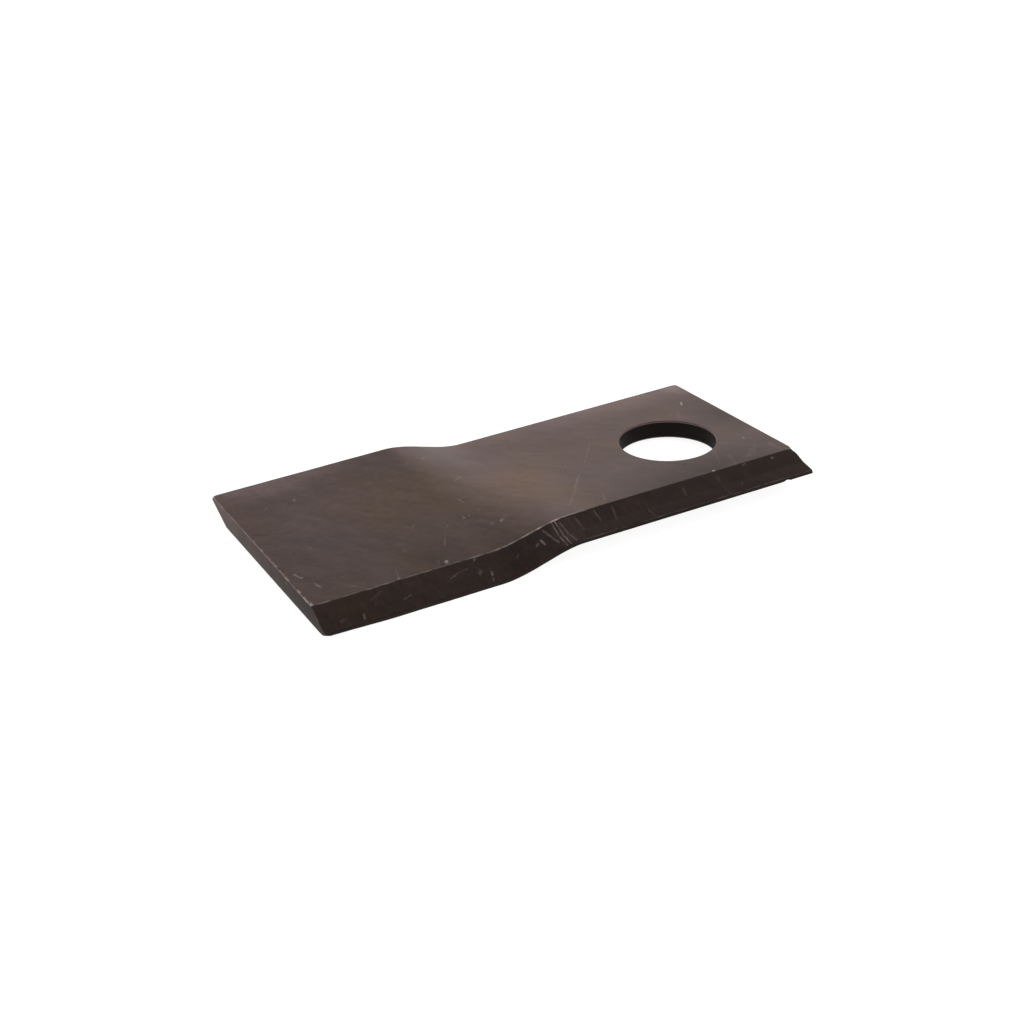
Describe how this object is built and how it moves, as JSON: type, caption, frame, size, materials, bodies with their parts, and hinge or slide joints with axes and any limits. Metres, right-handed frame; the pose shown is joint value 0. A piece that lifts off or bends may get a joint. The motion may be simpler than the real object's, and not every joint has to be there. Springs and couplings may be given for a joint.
{
  "type": "disc mower knife (blade tip)",
  "caption": "Twisted flat knife for a disc mower, with bevelled long edges and a round bore for its holding pin.",
  "frame": {"origin": "centre of the bore at mid-thickness of the flat mounting half", "axes": "+Z along the bore, up out of the face that the leading bevel is cut into; +X along the blade towards the sheared mounting end; -X towards the wing's tip; -Y towards the bevelled edge that the twist turns down"},
  "size_m": [0.1174, 0.05, 0.0118],
  "materials": {
    "steel": "hardened and tempered rolled steel, dark brown oxide skin, satin"
  },
  "bodies": {
    "root": {"blade": "steel"}
  },
  "joints": []
}
